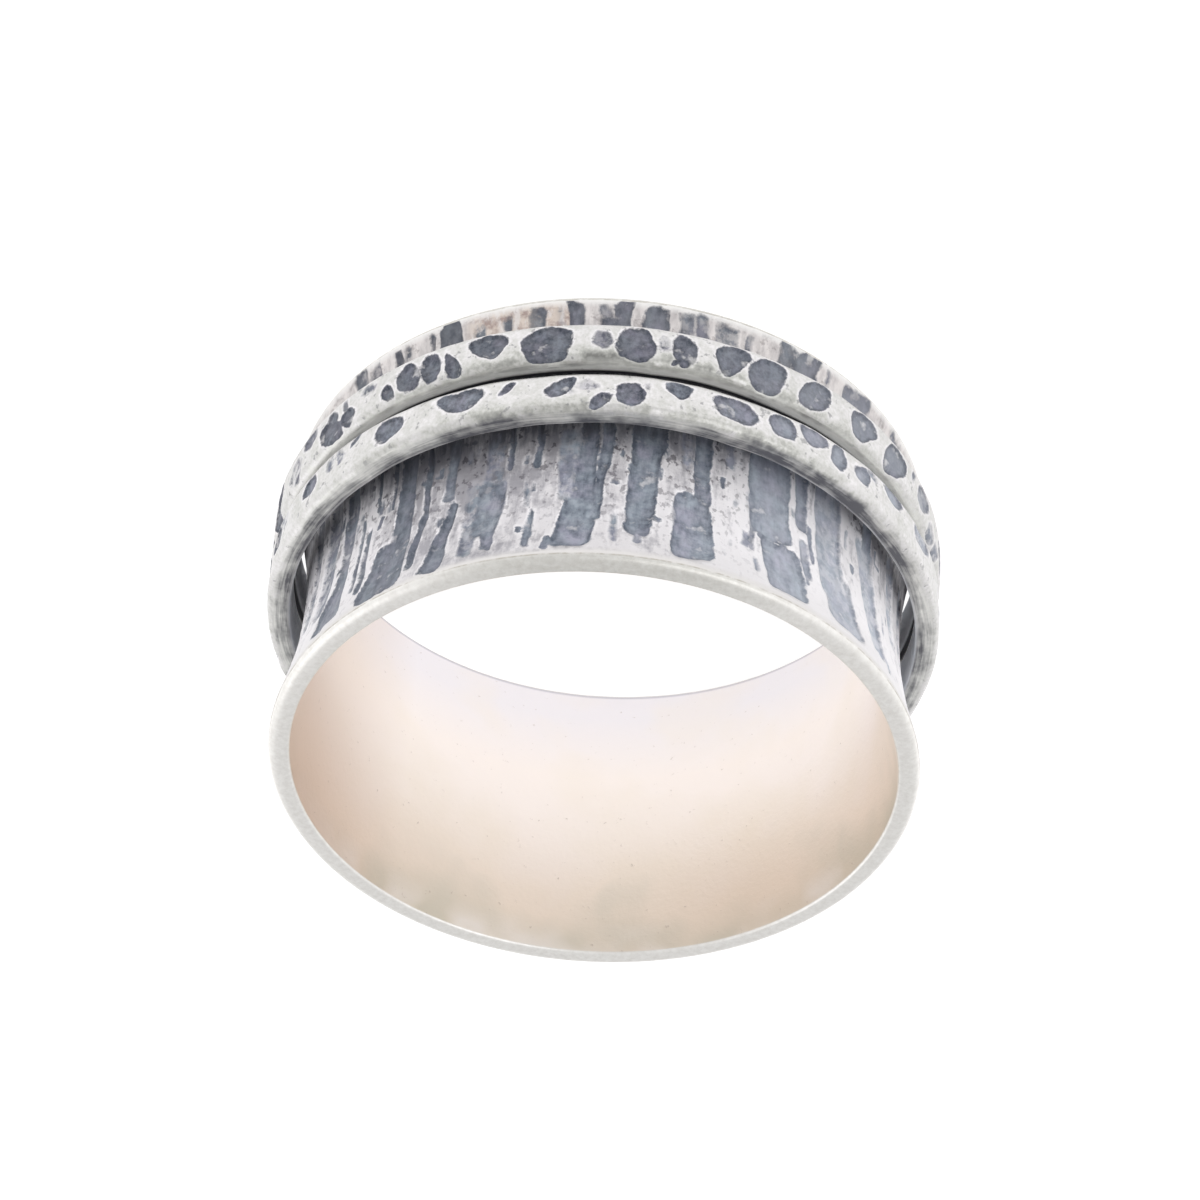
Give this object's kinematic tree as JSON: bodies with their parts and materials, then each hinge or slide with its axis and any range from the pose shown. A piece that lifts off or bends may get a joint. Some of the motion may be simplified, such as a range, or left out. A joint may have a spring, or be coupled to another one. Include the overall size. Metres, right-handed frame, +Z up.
{
  "type": "spinner ring",
  "caption": "Finger ring with a wide flared bark-hammered band and two narrow dented bands that spin round its waist.",
  "frame": {"origin": "centre of the ring on the plane of its lower rim, where it rests on a surface", "axes": "+Z up along the finger axis, -Y towards the front seen in the picture, +X to the right of it seen from the front with +Z up"},
  "size_m": [0.0212, 0.0212, 0.0108],
  "materials": {
    "band_silver": "satin sterling silver, dark grey oxide in the bark marks, ridges and rims polished bright",
    "spinner_silver": "satin sterling silver, dark grey oxide in the dents and on the side faces, high spots polished bright"
  },
  "bodies": {
    "base": {"base_band": "band_silver"},
    "lower_spinner": {"lower_spinner_band": "spinner_silver"},
    "upper_spinner": {"upper_spinner_band": "spinner_silver"}
  },
  "joints": [
    {"name": "lower_spin", "type": "hinge", "parent": "base", "child": "lower_spinner", "pos_m": [0, 0, 0.00237], "axis": [0, 0, 1], "continuous": true},
    {"name": "upper_spin", "type": "hinge", "parent": "base", "child": "upper_spinner", "pos_m": [0, 0, 0.00442], "axis": [0, 0, 1], "continuous": true}
  ]
}
